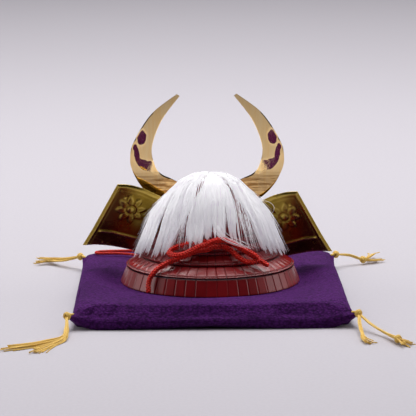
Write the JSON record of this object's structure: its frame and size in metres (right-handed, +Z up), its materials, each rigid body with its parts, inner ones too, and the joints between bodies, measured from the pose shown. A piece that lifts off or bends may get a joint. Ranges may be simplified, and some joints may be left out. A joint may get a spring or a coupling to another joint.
{
  "type": "miniature samurai helmet on display cushion",
  "caption": "Miniature red lacquered samurai helmet with brass horns, gold side wings, white hair and a red bow, resting on a purple crepe cushion with yellow corner tassels.",
  "frame": {"origin": "middle of the cushion's flat underside", "axes": "+Z up, +Y towards the front of the helmet, where the face opening and the horns are, +X to the right as seen from behind"},
  "size_m": [0.2461, 0.2837, 0.126],
  "materials": {
    "red_lacquer": "deep red lacquer with a soft gloss, pink highlights on the scales' edges",
    "polished_brass": "mirror-polished thin brass plate",
    "gold_plate": "pressed and gilded plate, dark olive bronze on the back, bright at the rim",
    "white_hair": "long straight white fibre with a silky sheen",
    "red_braid": "round braided cord in bright red",
    "purple_crepe": "matt purple crepe with a pebbled grain of about 1 mm",
    "yellow_thread": "loose golden yellow twisted threads"
  },
  "bodies": {
    "root": {"bowl": "red_lacquer", "visor": "red_lacquer", "shikoro_lame_1": "red_lacquer", "shikoro_lame_2": "red_lacquer", "shikoro_lame_3": "red_lacquer", "shikoro_lame_4": "red_lacquer", "shikoro_lame_5": "red_lacquer", "horn_holder": "gold_plate", "horn_left": "polished_brass", "horn_right": "polished_brass", "fukigaeshi_left": "gold_plate", "fukigaeshi_right": "gold_plate", "hair_plume": "white_hair", "bow_knot": "red_braid", "bow_loop_left": "red_braid", "bow_loop_right": "red_braid", "bow_tail_left": "red_braid", "bow_tail_right": "red_braid", "chin_cord": "red_braid", "cushion": "purple_crepe", "tassel_back_left": "yellow_thread", "tassel_back_right": "yellow_thread", "tassel_front_left": "yellow_thread", "tassel_front_right": "yellow_thread"}
  },
  "joints": []
}
